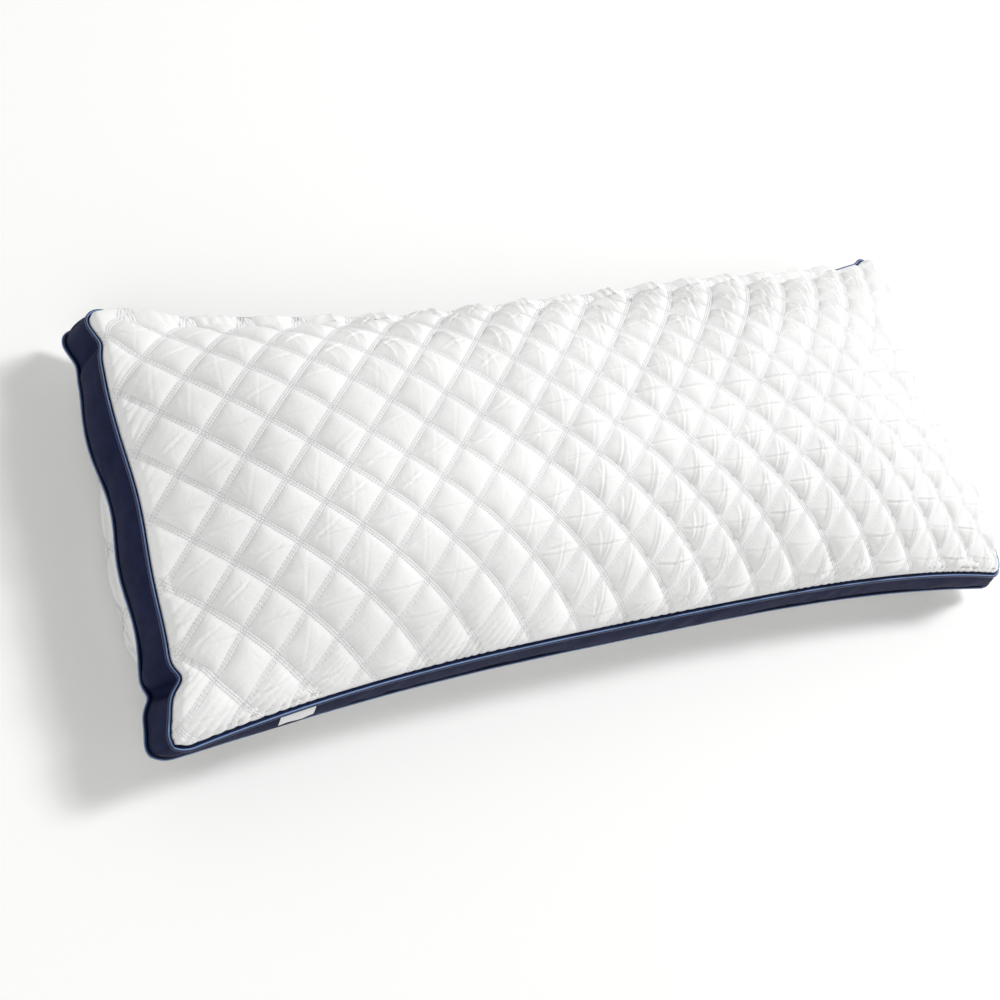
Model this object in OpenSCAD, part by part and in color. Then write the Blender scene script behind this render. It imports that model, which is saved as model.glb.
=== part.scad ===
// Long gusseted bed pillow with diamond-quilted panels, lying on its back panel.
// X runs along the length, Y across the width, +Z out of the front panel.
// The origin is on the surface the pillow lies on, under its middle.
// Front and back panels are each three quilted layers whose edges fold inwards at the seam.
// The gusset band joins them, with a corded piping caught in both seams.

/* [Pillow] */
// Length of the panels between the corner seams
pillow_l = 1200; // [900:10:1600]
// Width of the panels between the corner seams
pillow_w = 500; // [380:10:620]
// Height of the gusset band, seam to seam
gusset_h = 65; // [40:1:90]
// Rise of the front panel's crown over its folded edge
front_crown = 120; // [60:1:150]
// Drop of the back panel's crown under its folded edge
back_crown = 44; // [30:1:80]
// Radius of the four corners
corner_r = 24; // [12:1:50]
// How far the filling draws in the middle of each long seam
pull_long = 33; // [0:1:45]
// How far the filling draws in the middle of each short seam
pull_short = 12; // [0:1:35]

/* [Crown] */
// How late the crown falls away towards the two ends
end_power = 3.7; // [2:0.1:8]
// How late the crown falls away towards the long sides
side_power = 2.7; // [2:0.1:5]
// How bluffly the crown meets its edge, lower is steeper
edge_power = 1; // [0.5:0.05:1]
// Share of the back crown's height that lies flat on the surface below
back_flat = 0.25; // [0.1:0.05:0.5]

/* [Quilting] */
// Length of one quilted diamond, corner to corner
diamond_l = 66; // [50:1:120]
// Width of one quilted diamond, corner to corner
diamond_w = 72; // [50:1:120]
// Rise of a diamond's middle over its stitched lines
puff = 6; // [2:0.5:10]

/* [Panel layers] */
// Thickness of the outer microfibre fabric
face_t = 0.5; // [0.3:0.1:1]
// Thickness of the quilted batting in the crown
batting_t = 6; // [3:0.5:12]
// Thickness of the same batting pressed flat at the seam
batting_seam_t = 1.2; // [0.8:0.1:2]
// Thickness of the non-woven backing
backing_t = 0.4; // [0.2:0.1:1]
// Clearance between neighbouring layers
layer_gap = 0.25; // [0.15:0.05:0.5]
// Clearance under the face fabric in the crown, where the puffs lift it
quilt_gap = 1.2; // [0.8:0.1:3]

/* [Gusset and piping] */
// Thickness of the gusset fabric
band_t = 0.8; // [0.5:0.1:1.5]
// Diameter of the cord inside the piping
cord_d = 3.6; // [2:0.1:6]
// Thickness of the fabric strip wrapped round the cord
cover_t = 0.4; // [0.3:0.1:0.8]
// Clearance between the cord and its cover
cord_gap = 0.15; // [0.1:0.05:0.4]
// Distance of the piping bead from the seam line
bead_gap = 0.6; // [0.4:0.1:1.5]

/* [Seams] */
// Width of every seam allowance
allowance = 10; // [8:1:14]
// Thickness of the sewing thread
thread_d = 0.6; // [0.4:0.1:1]
// Length of the stretch of back seam closed after filling
closing_l = 260; // [120:10:400]

/* [Care label] */
// Width of the folded label along the seam
label_w = 40; // [30:1:80]
// Length of the label that hangs free of the seam
label_drop = 15; // [12:1:36]
// Thickness of the folded label
label_t = 0.5; // [0.3:0.1:1]
// Distance of the label's middle from the pillow's middle, towards -X
label_x = 470; // [300:5:480]

/* [Hidden] */

white_cloth = "#f3f4f6";
white_batting = "#e9ebee";
white_thread = "#dcdfe4";
navy_cloth = "#1b2447";
navy_satin = "#33507f";
navy_thread = "#141b38";

half_l = pillow_l / 2;
half_w = pillow_w / 2;

// Grid steps: two for each diamond, so every second node is a crossing of stitched lines.
nx = 2 * round(pillow_l / diamond_l);
ny = round(2 * pillow_w / diamond_w);

// Depths of each layer's two surfaces under the panel's outer surface, at the seam and in the crown.
batting_out_seam = face_t + layer_gap;
batting_out = face_t + quilt_gap;
batting_in_seam = batting_out_seam + batting_seam_t;
batting_in = batting_out + batting_t;
backing_out_seam = batting_in_seam + layer_gap;
backing_out = batting_in + layer_gap;
backing_in_seam = backing_out_seam + backing_t;
backing_in = backing_out + backing_t;
fill_out_seam = backing_in_seam + layer_gap;
fill_out = backing_in + layer_gap;

// A panel's edge is folded back on itself, so its rim is two stacks and the thread between them.
rim_h = 2 * fill_out_seam + thread_d + 2 * layer_gap;
tape_t = 2 * cover_t + layer_gap / 2;

// Heights of the two seams, each the middle of its piping tape.
back_seam_z = back_crown + rim_h + layer_gap + tape_t / 2;
front_seam_z = back_seam_z + gusset_h;
seam_to_panel = tape_t / 2 + layer_gap;
band_top = front_seam_z - seam_to_panel;
band_bottom = back_seam_z + seam_to_panel;

// The bead is drawn with few sides, so its corners stand out by enough to clear the cord.
cover_sides = 4;
bead_inner_r = (cord_d / 2 + cord_gap) / cos(180 / cover_sides);
bead_r = bead_inner_r + cover_t;
bead_x = bead_gap + bead_r;

// ---- Plan of the panel: a rounded rectangle whose sides are drawn in ----

corner_back = corner_r * (1 - cos(45));

// Share of a half side that is straight, and the angle reached on its corner arc.
function straight_share(half) = (half - corner_r) / (half - corner_r + corner_r * PI / 4);
function arc_angle(t, half) = let (s = straight_share(half)) 45 * max(0, (abs(t) - s) / (1 - s));

// Distance run along a side, and the fall back from it, at t from -1 to 1.
function side_run(t, half) =
    let (q = min(1, abs(t) / straight_share(half)))
    sign(t) * ((half - corner_r) * q + corner_r * sin(arc_angle(t, half)));
function side_fall(t, half) = corner_r * (1 - cos(arc_angle(t, half)));

// Draws a point of the flat panel in towards the middle, as the filling does.
long_power = 3;
function drawn_in(p) = [
    p.x * (1 - pull_short / half_l * (1 - pow(p.y / half_w, 2))),
    p.y * (1 - pull_long / half_w * (1 - pow(abs(p.x) / half_l, long_power)))
];

// Plan position for u and v from -1 to 1: the four sides blended across the panel.
function plan(u, v) = drawn_in([
    side_run(u, half_l) + u * (corner_back - side_fall(v, half_w)),
    side_run(v, half_w) + v * (corner_back - side_fall(u, half_l))
]);

// Height of the crown from 0 at the seam to 1 in the middle.
function swell(u, v) =
    pow(max(0, 1 - pow(abs(u), end_power)), edge_power)
    * pow(max(0, 1 - pow(abs(v), side_power)), edge_power);

// Grid columns and rows, with the rim walked anticlockwise.
function columns(step) = nx / step;
function rim_steps(step) = let (m = columns(step)) concat(
    [for (i = [0:1:m - 1]) [i, 0]],
    [for (j = [0:1:ny - 1]) [m, j]],
    [for (i = [m:-1:1]) [i, ny]],
    [for (j = [ny:-1:1]) [0, j]]
);
function at_u(i, step) = 2 * i / columns(step) - 1;
function at_v(j) = 2 * j / ny - 1;
function unit(p) = p / norm(p);

// A closed line moved inwards by a distance, along the bisector of each point's two edges.
function moved_in(base, inset) =
    let (n = len(base))
    [for (k = [0:1:n - 1])
        let (
            before = unit(base[k] - base[(k + n - 1) % n]),
            after = unit(base[(k + 1) % n] - base[k]),
            along = unit(before + after),
            stretch = 1 / (along * after)
        )
        base[k] + inset * stretch * [-along.y, along.x]
    ];

// The panel's rim through its grid nodes.
function rim(inset, step = 1) =
    moved_in([for (s = rim_steps(step)) plan(at_u(s[0], step), at_v(s[1]))], inset);

// ---- Panel layers: closed shells that follow the crown and fold in at the seam ----

// Triangles of a grid. At full detail the diagonals follow the stitched lines; a coarser grid
// takes each cell's lower diagonal, by the points' heights, so it stays under the full one.
function grid_faces(points, step, first, flip) = [
    for (i = [0:1:columns(step) - 1], j = [0:1:ny - 1])
        let (
            a = i * (ny + 1) + j,
            b = a + ny + 1,
            c = b + 1,
            d = a + 1,
            lower = points[a].z + points[c].z < points[b].z + points[d].z,
            rising = step == 1 ? (i + j) % 2 == 0 : lower,
            tris = rising ? [[a, c, b], [a, d, c]] : [[a, d, b], [b, d, c]]
        )
        for (t = tris) [for (k = flip ? [2, 1, 0] : [0, 1, 2]) first + t[k]]
];

// Indices of a grid's rim nodes, in the same order as rim().
function rim_index(first, step) =
    [for (s = rim_steps(step)) first + s[0] * (ny + 1) + s[1]];

// Quads between two closed loops of vertices.
function strip(a, b) = let (n = len(a)) [
    for (k = [0:1:n - 1]) [a[k], a[(k + 1) % n], b[(k + 1) % n], b[k]]
];

function is_rim(i, j, m) = i == 0 || i == m || j == 0 || j == ny;

// Grid of points for one surface; heights(u, v, odd) gives z, and rim nodes move in by inset.
function surface_points(step, inset, heights) =
    let (
        m = columns(step),
        edge = rim(inset, step),
        steps = rim_steps(step)
    )
    [for (i = [0:1:m], j = [0:1:ny])
        let (
            u = at_u(i, step),
            v = at_v(j),
            p = is_rim(i, j, m) ? edge[search([[i, j]], steps)[0]] : plan(u, v),
            odd = step == 1 && (i + j) % 2 == 1
        )
        [p.x, p.y, heights(u, v, odd)]
    ];

function loop_points(inset, z, step) = [for (p = rim(inset, step)) [p.x, p.y, z]];

// How much of the full layer depth and puff applies: none at the seam, all in the crown.
function ramp(g) = min(1, 2 * g);
// The back crown is cut off flat where it lies on the surface below.
function back_swell(u, v) = min(1, swell(u, v) / (1 - back_flat));

// Height over the panel's lowest plane. Depths are [at the seam, in the crown]; odd nodes are puffed.
// On the front the puffs rise over the crown; on the back the stitched lines sink under it,
// and both lie flat where the pillow rests.
function front_height(u, v, odd, depth) =
    let (g = swell(u, v))
    rim_h + front_crown * g - depth[0] - (depth[1] - depth[0]) * ramp(g) + (odd ? puff * ramp(g) : 0);
function back_height(u, v, odd, depth) =
    let (g = back_swell(u, v), free = min(1, 2 * (1 - g)))
    rim_h + back_crown * g - depth[0] - (depth[1] - depth[0]) * ramp(g)
        - (odd ? 0 : puff * ramp(g) * free);
function panel_height(u, v, odd, depth, front) =
    front ? front_height(u, v, odd, depth) : back_height(u, v, odd, depth);

// One layer between an outer and an inner depth, either folded in at the seam or cut off there.
module layer(outer, inner, step, front, folded) {
    high = function (u, v, odd) panel_height(u, v, odd, outer, front);
    low = function (u, v, odd) panel_height(u, v, odd, inner, front);
    outside = surface_points(step, outer[0], high);
    inside = surface_points(step, folded ? inner[0] : outer[0], low);
    loops = folded ? [
        loop_points(outer[0], outer[0], step),
        loop_points(allowance, outer[0], step),
        loop_points(allowance, inner[0], step),
        loop_points(inner[0], inner[0], step)
    ] : [];
    n = len(rim_steps(step));
    first_inside = len(outside) + len(loops) * n;
    rings = concat(
        [rim_index(0, step)],
        [for (r = [0:1:len(loops) - 1]) [for (k = [0:1:n - 1]) len(outside) + r * n + k]],
        [rim_index(first_inside, step)]
    );
    polyhedron(
        points = concat(outside, [for (l = loops) each l], inside),
        faces = concat(
            grid_faces(outside, step, 0, false),
            [for (r = [0:1:len(rings) - 2]) each strip(rings[r], rings[r + 1])],
            grid_faces(outside, step, first_inside, true)
        ),
        convexity = 8
    );
}

// Puts a panel in place: the front one over the front seam, the back one turned over.
module on_front() {
    translate([0, 0, front_seam_z + seam_to_panel]) children();
}
module on_back() {
    translate([0, 0, back_seam_z - seam_to_panel]) mirror([0, 0, 1]) children();
}

module face_layer(front) {
    layer([0, 0], [face_t, face_t], 1, front, true);
}
// The batting is trimmed at the fold, to keep the seam thin.
module batting_layer(front) {
    layer([batting_out_seam, batting_out], [batting_in_seam, batting_in], 2, front, false);
}
module backing_layer(front) {
    layer([backing_out_seam, backing_out], [backing_in_seam, backing_in], 2, front, true);
}

module front_face_fabric() {
    color(white_cloth) on_front() face_layer(true);
}
module front_batting() {
    color(white_batting) on_front() batting_layer(true);
}
module front_backing() {
    color(white_batting) on_front() backing_layer(true);
}
module back_face_fabric() {
    color(white_cloth) on_back() face_layer(false);
}
module back_batting() {
    color(white_batting) on_back() batting_layer(false);
}
module back_backing() {
    color(white_batting) on_back() backing_layer(false);
}

// ---- Quilting thread: a three-sided cord along every stitched line ----

// Grid nodes of each stitched line: family +1 climbs with X and family -1 falls.
function stitched_line(start, family) = [
    for (s = [0:1:nx]) let (j = start + family * s) if (j >= 0 && j <= ny) [s, j]
];
function line_starts(family) = family > 0
    ? [for (k = [-nx:1:ny]) if (k % 2 == 0) k]
    : [for (k = [0:1:nx + ny]) if (k % 2 == 0) k];

// Point of the outer surface at a grid node, with the rim moved just inside the fold.
function outer_node(s, front) =
    let (
        u = at_u(s[0], 1),
        v = at_v(s[1]),
        shrink = is_rim(s[0], s[1], nx) ? 1 - thread_d / half_w : 1,
        p = plan(u, v) * shrink,
        z = panel_height(u, v, false, [0, 0], front)
    )
    [p.x, p.y, z];

// Steepness of the panel at a grid node, along X and Y.
function slope_at(s, front) =
    let (
        u = [max(-1, at_u(s[0], 1) - 0.01), at_u(s[0], 1), min(1, at_u(s[0], 1) + 0.01)],
        v = [max(-1, at_v(s[1]) - 0.01), at_v(s[1]), min(1, at_v(s[1]) + 0.01)],
        z = function (a, b) panel_height(a, b, false, [0, 0], front)
    )
    [
        (z(u[2], v[1]) - z(u[0], v[1])) / (u[2] - u[0]) / half_l,
        (z(u[1], v[2]) - z(u[1], v[0])) / (v[2] - v[0]) / half_w
    ];

// Sweeps the cord's three edges along a stitched line: one up and two down, level with the panel.
module thread_along(line, rise, front) {
    points = [for (s = line) outer_node(s, front)];
    n = len(points);
    w = thread_d;
    dir = unit(points[n - 1] - points[0]);
    side = w / 2 * unit([-dir.y, dir.x]);
    verts = [for (k = [0:1:n - 1])
        let (p = points[k], across = [side.x, side.y, side * slope_at(line[k], front)])
        each [
            p + [0, 0, rise],
            p + [0, 0, rise - w] - across,
            p + [0, 0, rise - w] + across
        ]
    ];
    sides = [for (k = [0:1:n - 2], e = [0:1:2])
        let (f = (e + 1) % 3)
        each [
            [3 * k + e, 3 * k + 3 + f, 3 * k + f],
            [3 * k + e, 3 * k + 3 + e, 3 * k + 3 + f]
        ]
    ];
    polyhedron(
        points = verts,
        faces = concat(sides, [[0, 1, 2], [3 * n - 1, 3 * n - 2, 3 * n - 3]]),
        convexity = 4
    );
}

// The second family of lines is sewn after the first, so it lies over it.
module quilting(front) {
    highest = front ? 1.5 * thread_d : -layer_gap / 2;
    for (family = [1, -1], start = line_starts(family)) {
        line = stitched_line(start, family);
        rise = highest - (family > 0 ? 1.4 * thread_d : 0);
        if (len(line) > 1) thread_along(line, rise, front);
    }
}
module front_quilting_thread() {
    color(white_thread) on_front() quilting(true);
}
module back_quilting_thread() {
    color(white_thread) on_back() quilting(false);
}

// ---- Gusset band: one strip sewn into a loop, with both edges and both ends turned in ----

join_x = half_l - pull_short;
join_slit = 0.4;

module band_solid(inset, from_z, to_z) {
    translate([0, 0, from_z]) linear_extrude(to_z - from_z) polygon(rim(inset));
}
module gusset_band() {
    color(navy_cloth) {
        difference() {
            band_solid(0, band_bottom, band_top);
            band_solid(band_t, band_bottom + band_t, band_top - band_t);
            band_solid(allowance, band_bottom - 1, band_top + 1);
            translate([join_x - 2 * allowance, -join_slit / 2, band_bottom - 1])
                cube([3 * allowance, join_slit, band_top - band_bottom + 2]);
        }
        for (side = [1, -1])
            translate([
                join_x - allowance,
                side * (join_slit + band_t) / 2 - band_t / 2,
                band_bottom + band_t
            ])
                cube([allowance - band_t / 2, band_t, band_top - band_bottom - 2 * band_t]);
    }
}

// Stitches that hold the band's two turned-in ends together.
join_stitch_x = join_x - allowance / 2;
join_stitch_pitch = 5;
join_stitch_y = join_slit / 2 + band_t + thread_d / 2 + layer_gap / 2;
join_stitches = floor((gusset_h - 4 * band_t) / join_stitch_pitch) - 1;
module gusset_join_thread() {
    low = (band_bottom + band_top - (join_stitches - 1) * join_stitch_pitch) / 2;
    color(navy_thread) {
        for (side = [1, -1])
            translate([join_stitch_x, side * join_stitch_y, low - thread_d])
                cylinder(h = (join_stitches - 1) * join_stitch_pitch + 2 * thread_d, d = thread_d, $fn = 24);
        for (k = [0:1:join_stitches - 1])
            translate([join_stitch_x, join_stitch_y, low + k * join_stitch_pitch])
                rotate([90, 0, 0]) cylinder(h = 2 * join_stitch_y, d = thread_d, $fn = 24);
    }
}

// ---- Piping: a cord in a folded strip, caught between a panel and the gusset ----

// Stations along one side from corner to corner, with the corner arcs in two steps each.
function side_stations(half, spans) =
    let (s = straight_share(half))
    concat([-1, -(1 + s) / 2], [for (k = [0:1:spans]) s * (2 * k / spans - 1)], [(1 + s) / 2]);
piping_spans = [10, 5];
long_stations = side_stations(half_l, piping_spans[0]);
short_stations = side_stations(half_w, piping_spans[1]);
piping_line = concat(
    [for (t = long_stations) plan(t, -1)],
    [for (t = short_stations) plan(1, t)],
    [for (t = long_stations) plan(-t, 1)],
    [for (t = short_stations) plan(-1, -t)]
);

// Sweeps a profile of [distance out from the seam line, height] round the pillow.
module round_rim(profile, z) {
    n = len(piping_line);
    m = len(profile);
    loops = [for (q = profile) [for (p = moved_in(piping_line, -q[0])) [p.x, p.y, z + q[1]]]];
    index = [for (r = [0:1:m - 1]) [for (k = [0:1:n - 1]) r * n + k]];
    polyhedron(
        points = [for (l = loops) each l],
        faces = [for (r = [0:1:m - 1]) each strip(index[(r + 1) % m], index[r])],
        convexity = 8
    );
}

// The strip lies in two plies in the seam and goes round the cord.
ply_gap = tape_t - 2 * cover_t;
outer_slit = asin(tape_t / 2 / bead_r);
inner_slit = asin(ply_gap / 2 / bead_inner_r);
function on_bead(r, a) = [bead_x - r * cos(a), r * sin(a)];
function bead_arc(r, from, to) =
    [for (k = [0:1:cover_sides]) on_bead(r, from + (to - from) * k / cover_sides)];
cover_profile = concat(
    [[-allowance, ply_gap / 2]],
    bead_arc(bead_inner_r, inner_slit, 360 - inner_slit),
    [[-allowance, -ply_gap / 2], [-allowance, -tape_t / 2]],
    bead_arc(bead_r, 360 - outer_slit, outer_slit),
    [[-allowance, tape_t / 2]]
);
cord_sides = 6;
cord_profile = [for (k = [0:1:cord_sides - 1])
    on_bead((cord_d - cord_gap) / 2, 180 - (k + 0.5) * 360 / cord_sides)
];
module piping_cover(z) {
    color(navy_satin) round_rim(cover_profile, z);
}
module piping_cord(z) {
    color(white_thread) round_rim(cord_profile, z);
}
module front_piping_cover() {
    piping_cover(front_seam_z);
}
module front_piping_cord() {
    piping_cord(front_seam_z);
}
module back_piping_cover() {
    piping_cover(back_seam_z);
}
module back_piping_cord() {
    piping_cord(back_seam_z);
}

// ---- Seam threads: one row each side of the layers, tied by stitches through them ----

stitch_inset = fill_out_seam + layer_gap;
panel_thread = backing_in_seam + layer_gap / 2;
stitch_every = 2;

// Rows of thread over the panel's fold and under the gusset's, seen from the seam outwards.
module seam_rows() {
    over = seam_to_panel + panel_thread;
    under = -seam_to_panel - band_t - layer_gap / 2 - thread_d;
    for (z = [over, under])
        translate([0, 0, z]) linear_extrude(thread_d) difference() {
            polygon(rim(stitch_inset));
            polygon(rim(stitch_inset + thread_d));
        }
    spots = rim(stitch_inset + thread_d / 2);
    for (k = [0:stitch_every:len(spots) - 1])
        translate([spots[k].x, spots[k].y, under])
            linear_extrude(over + thread_d - under)
                square(thread_d * 0.8, center = true);
}
module closing_stretch(extra) {
    far = 2 * pillow_w;
    translate([-closing_l / 2 - extra, 0, -far])
        cube([closing_l + 2 * extra, far, 2 * far]);
}
module front_seam_thread() {
    color(white_thread) translate([0, 0, front_seam_z]) seam_rows();
}
module back_seam_thread() {
    color(white_thread) translate([0, 0, back_seam_z]) mirror([0, 0, 1])
        difference() {
            seam_rows();
            closing_stretch(thread_d);
        }
}
// The gap the pillow was filled through, sewn shut last with a thread of its own.
module closing_seam_thread() {
    color(navy_thread) translate([0, 0, back_seam_z]) mirror([0, 0, 1])
        intersection() {
            seam_rows();
            closing_stretch(0);
        }
}

// ---- Filling: one soft body between the two backings and the seam allowances ----

fill_inset = allowance + 2;
fill_step = 2;
module fibre_fill() {
    top_z = front_seam_z + seam_to_panel;
    low_z = back_seam_z - seam_to_panel;
    depth = [fill_out_seam, fill_out];
    over = function (u, v, odd) top_z + front_height(u, v, false, depth);
    under = function (u, v, odd) low_z - back_height(u, v, false, depth);
    high = surface_points(fill_step, fill_inset, over);
    low = surface_points(fill_step, fill_inset, under);
    low_mirrored = [for (p = low) [p.x, p.y, -p.z]];
    color(white_cloth) polyhedron(
        points = concat(high, low),
        faces = concat(
            grid_faces(high, fill_step, 0, false),
            strip(rim_index(0, fill_step), rim_index(len(high), fill_step)),
            grid_faces(low_mirrored, fill_step, len(high), true)
        ),
        convexity = 4
    );
}

// ---- Care label: hangs from the front seam in front of the gusset ----

// It turns about its top edge, so it keeps clear of the gusset behind and the bead above.
label_stand_off = label_t / 2 + 0.4;
label_edge_z = front_seam_z - bead_r - label_t / 2 - 0.5;
label_seam = drawn_in([-label_x, -half_w]);
label_turn = atan(pull_long * long_power * pow(label_x / half_l, long_power) / label_x);
module care_label() {
    color(white_cloth)
        translate([label_seam.x, label_seam.y, label_edge_z])
            rotate([0, 0, label_turn])
                translate([-label_w / 2, -label_stand_off - label_t / 2, -label_drop])
                    cube([label_w, label_t, label_drop]);
}

front_face_fabric();
front_batting();
front_backing();
front_quilting_thread();
back_face_fabric();
back_batting();
back_backing();
back_quilting_thread();
gusset_band();
gusset_join_thread();
front_piping_cover();
front_piping_cord();
back_piping_cover();
back_piping_cord();
front_seam_thread();
back_seam_thread();
closing_seam_thread();
fibre_fill();
care_label();
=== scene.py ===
"""Quilted bed pillow: the soft pieces, materials and stage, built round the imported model.

Every length is in metres. X runs along the pillow, Y across it and +Z out of its front panel.
The floor is at z = 0. A point of a panel is named by u along X and v along Y, each from -1 to 1
between the seams.
"""

import functools
import math

import bpy
import numpy as np
from bpy.props import FloatProperty, FloatVectorProperty, PointerProperty
from bpy.types import Operator, Panel, PropertyGroup
from mathutils import Matrix, Vector


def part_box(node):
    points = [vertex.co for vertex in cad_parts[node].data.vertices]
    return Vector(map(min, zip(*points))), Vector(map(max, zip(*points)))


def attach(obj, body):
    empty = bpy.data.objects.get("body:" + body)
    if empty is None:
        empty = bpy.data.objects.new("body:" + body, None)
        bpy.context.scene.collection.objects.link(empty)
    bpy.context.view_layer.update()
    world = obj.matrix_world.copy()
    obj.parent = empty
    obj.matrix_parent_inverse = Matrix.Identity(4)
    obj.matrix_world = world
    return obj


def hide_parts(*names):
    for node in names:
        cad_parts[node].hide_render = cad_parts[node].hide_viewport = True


bl_info = {
    "name": "Quilted Bed Pillow",
    "version": (1, 0, 0),
    "blender": (4, 5, 0),
    "location": "3D View > Sidebar > Pillow",
    "description": "Builds a gusseted, diamond-quilted bed pillow with corded piping",
    "category": "Object",
}

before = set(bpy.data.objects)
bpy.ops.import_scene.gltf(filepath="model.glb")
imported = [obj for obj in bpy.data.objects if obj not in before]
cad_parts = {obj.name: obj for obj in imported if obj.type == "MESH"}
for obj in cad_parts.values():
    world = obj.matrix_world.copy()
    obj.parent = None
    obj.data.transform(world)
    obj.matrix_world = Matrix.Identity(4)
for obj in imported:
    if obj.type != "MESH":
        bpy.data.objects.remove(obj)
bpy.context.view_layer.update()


def middle(node, axis):
    """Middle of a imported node's box along one axis."""
    low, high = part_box(node)
    return (low[axis] + high[axis]) / 2


# ---- Sizes and colours a user would change ----


def linear(hex_colour):
    """sRGB hex to a linear colour with alpha 1."""
    parts = [int(hex_colour[k : k + 2], 16) / 255 for k in (1, 3, 5)]
    return tuple(c / 12.92 if c <= 0.04045 else ((c + 0.055) / 1.055) ** 2.4 for c in parts) + (1.0,)


class PillowShape(PropertyGroup):
    """Outline and crown of the pillow"""

    length: FloatProperty(
        name="Length", description="Panel length between corner seams", default=1.2, unit="LENGTH"
    )
    width: FloatProperty(
        name="Width", description="Panel width between corner seams", default=0.5, unit="LENGTH"
    )
    corner: FloatProperty(
        name="Corner radius", description="Radius of the corners", default=0.024, unit="LENGTH"
    )
    front_seam: FloatProperty(
        name="Front seam height",
        description="Height of the seam between gusset and front panel",
        default=middle("front_piping_cord", 2),
        unit="LENGTH",
    )
    back_seam: FloatProperty(
        name="Back seam height",
        description="Height of the seam between gusset and back panel",
        default=middle("back_piping_cord", 2),
        unit="LENGTH",
    )
    crown: FloatProperty(
        name="Front crown",
        description="Rise of the front panel over its rounded edge",
        default=0.12,
        unit="LENGTH",
    )
    back_crown: FloatProperty(
        name="Back crown", description="Drop of the back panel", default=0.044, unit="LENGTH"
    )
    pull_long: FloatProperty(
        name="Long pull", description="How far the long sides draw in", default=0.033, unit="LENGTH"
    )
    pull_short: FloatProperty(
        name="Short pull", description="How far the ends draw in", default=0.012, unit="LENGTH"
    )
    droop: FloatProperty(
        name="Corner droop", description="How far the corners sink", default=0.024, unit="LENGTH"
    )
    spread: FloatProperty(
        name="Back spread", description="How far the back seam spreads at the ends", default=0.012, unit="LENGTH"
    )
    lean: FloatProperty(
        name="Right lean", description="How far the upper right corner leans in", default=0.031, unit="LENGTH"
    )
    sag: FloatProperty(
        name="Upper sag", description="How far the upper seam sags near its left end", default=0.017, unit="LENGTH"
    )
    overhang: FloatProperty(
        name="Overhang", description="How far the front puffs out over its upper seam", default=0.014, unit="LENGTH"
    )
    back_swell: FloatProperty(
        name="Back swell", description="How far the back puffs out past its left seam", default=0.036, unit="LENGTH"
    )


class PillowQuilting(PropertyGroup):
    """Diamond quilting of both panels"""

    along: FloatProperty(name="Diamonds along", description="Diamonds in the length", default=18.2)
    across: FloatProperty(name="Diamonds across", description="Diamonds in the width", default=6.8)
    shift_along: FloatProperty(
        name="Shift along", description="Cells from the left seam to a crossing", default=3.598
    )
    shift_across: FloatProperty(
        name="Shift across", description="Cells from the lower seam to a crossing", default=4.757
    )
    puff: FloatProperty(
        name="Puff", description="Rise of a cell over its channels", default=0.005, unit="LENGTH"
    )
    channel: FloatProperty(
        name="Channel", description="Width of a stitched channel", default=0.0076, unit="LENGTH"
    )
    row_gap: FloatProperty(
        name="Row gap", description="Distance between stitch rows", default=0.0026, unit="LENGTH"
    )
    pitch: FloatProperty(
        name="Stitch pitch", description="Length of one stitch", default=0.004, unit="LENGTH"
    )


class PillowTrim(PropertyGroup):
    """Gusset, piping and label"""

    bulge: FloatProperty(
        name="Gusset bulge", description="How far the gusset swells out", default=0.008, unit="LENGTH"
    )
    cloth: FloatProperty(
        name="Gusset cloth", description="Thickness of the gusset cloth", default=0.0008, unit="LENGTH"
    )
    bead: FloatProperty(
        name="Piping bead", description="Diameter of the piping bead", default=0.0042, unit="LENGTH"
    )
    bead_out: FloatProperty(
        name="Bead distance", description="From seam to bead centre", default=0.003, unit="LENGTH"
    )
    label_out: FloatProperty(
        name="Label gap", description="From gusset to label", default=0.0012, unit="LENGTH"
    )
    white: FloatVectorProperty(
        name="White", description="Microfibre white", default=linear("#f0f0f0")[:3], subtype="COLOR"
    )
    navy: FloatVectorProperty(
        name="Navy", description="Gusset navy", default=linear("#161e40")[:3], subtype="COLOR"
    )


# ---- Small numpy tools ----


def ease(x, width):
    """Smoothstep: 0 below 0, 1 above width."""
    k = np.clip(x / width, 0, 1)
    return k * k * (3 - 2 * k)


def bell(x, width):
    """Gaussian bump of height 1."""
    return np.exp(-((x / width) ** 2))


def scatter(m, n, salt):
    """Repeatable value from 0 to 1 for each pair of whole numbers: the fraction of a large sine."""
    k = np.sin(m * 12.9898 + n * 78.233 + salt * 37.719) * 43758.5453
    return k - np.floor(k)


def unit(a):
    """Vectors scaled to length 1 along the last axis."""
    return a / np.maximum(np.linalg.norm(a, axis=-1, keepdims=True), 1e-12)


# ---- Shape of the pillow ----


def side_run(t, half, radius):
    """Distance along a side and the fall behind it, for t from -1 to 1.

    The side is straight up to its corner and then follows an eighth of a circle.
    """
    straight = half - radius
    share = straight / (straight + radius * math.pi / 4)
    turn = math.pi / 4 * np.maximum(0, (np.abs(t) - share) / (1 - share))
    run = np.sign(t) * (straight * np.minimum(1, np.abs(t) / share) + radius * np.sin(turn))
    return run, radius * (1 - np.cos(turn))


def tuck(s, u, v):
    """Inward shift of the left end's seam: a sharp pinch low down and a wider jog near the top."""
    reach = np.exp(-(1 + u) * s.length / 2 / 0.03)
    return reach * (0.0105 * bell(v + 0.735, 0.05) + 0.005 * bell(v - 0.83, 0.06) + 0.0015 * np.sin(9 * v + 1))


def low_left(u, v):
    """1 at the lower left corner, falling off as (u v)^8 within its quarter."""
    return (np.clip(-u, 0, 1) * np.clip(-v, 0, 1)) ** 8


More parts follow.
